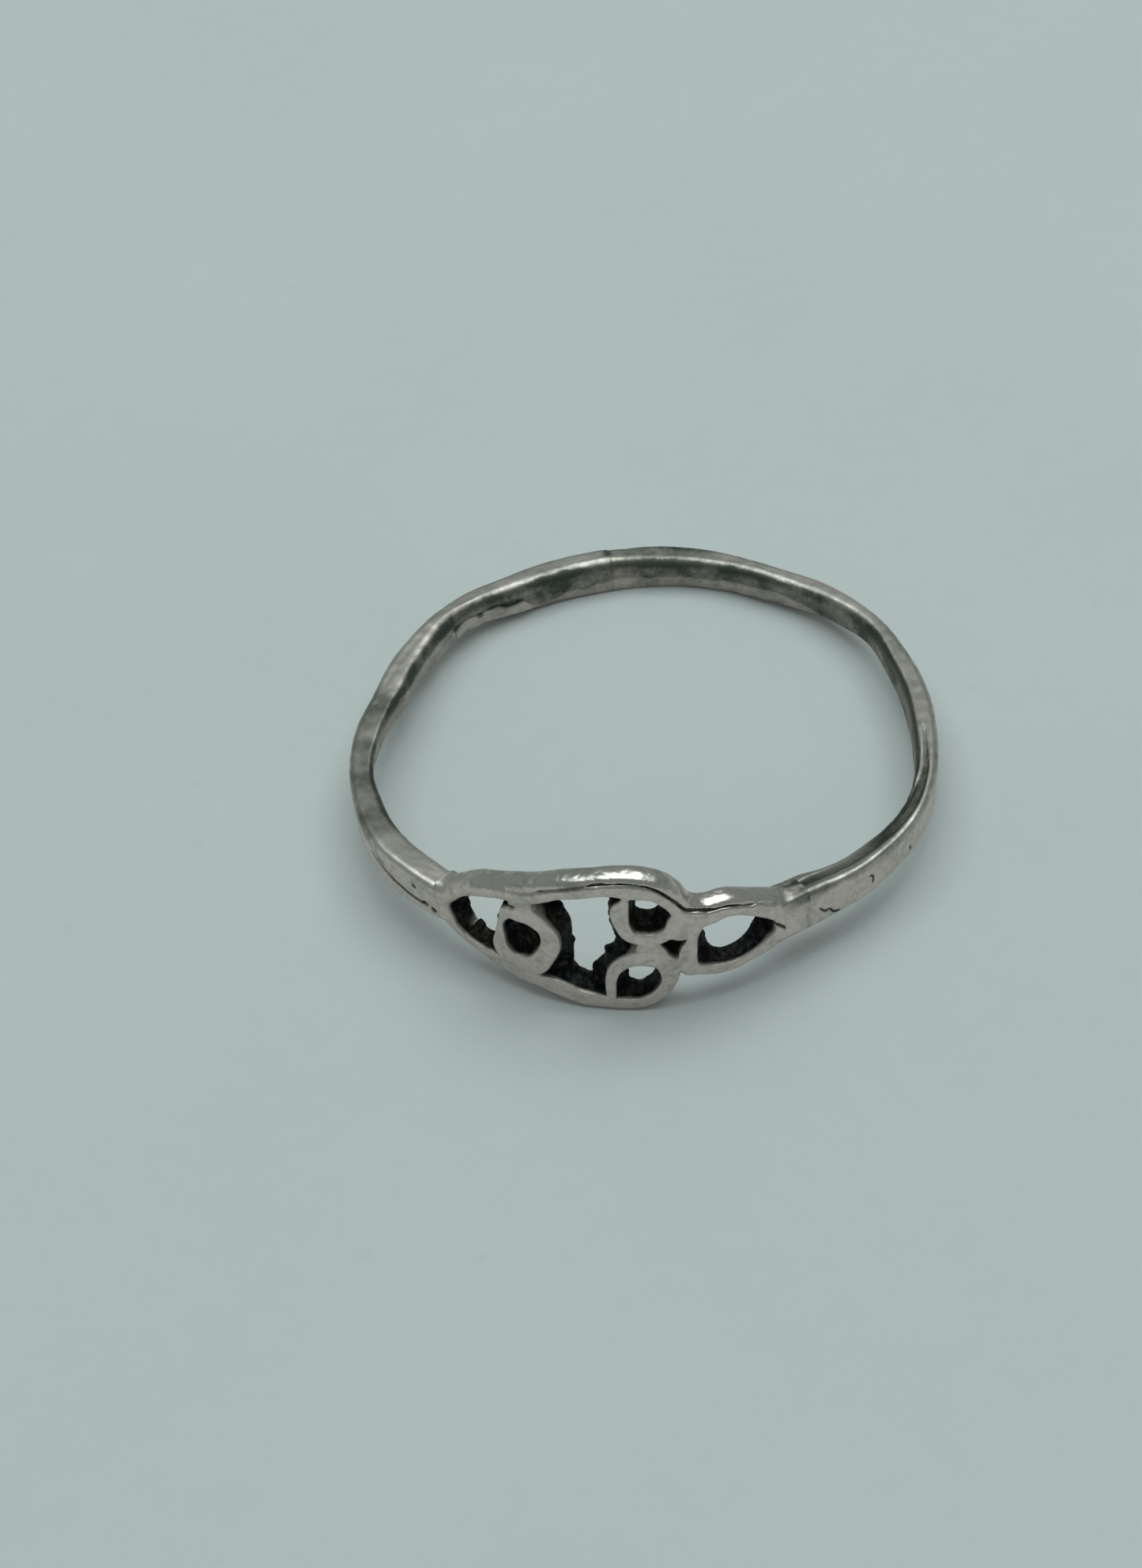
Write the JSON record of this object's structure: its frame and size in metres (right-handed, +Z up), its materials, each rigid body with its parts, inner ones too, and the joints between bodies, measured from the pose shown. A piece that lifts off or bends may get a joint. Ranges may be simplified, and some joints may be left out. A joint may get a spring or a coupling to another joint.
{
  "type": "finger ring",
  "caption": "Slim worn silver finger ring with an openwork wire crest of scrolls, a leaf collet and an eye-shaped opening.",
  "frame": {"origin": "on the surface the ring lies on, under the centre of its bounding box", "axes": "+Z up from that surface, -Y towards the crest, +X to the right as the crest is faced"},
  "size_m": [0.0188, 0.019, 0.0056],
  "materials": {
    "silver": "worn satin silver, tarnished in the recesses",
    "solder": "dull silver solder, tarnished"
  },
  "bodies": {
    "root": {"shank_left": "silver", "shank_right": "silver", "upper_rail": "silver", "lower_rail": "silver", "eye_wire": "silver", "upper_scroll": "silver", "leaf_collet": "silver", "centre_solder": "solder", "waist_solder": "solder", "leaf_solder": "solder", "back_seam_solder": "solder", "left_shoulder_solder": "solder", "right_shoulder_solder": "solder", "sizing_solder": "solder"}
  },
  "joints": []
}
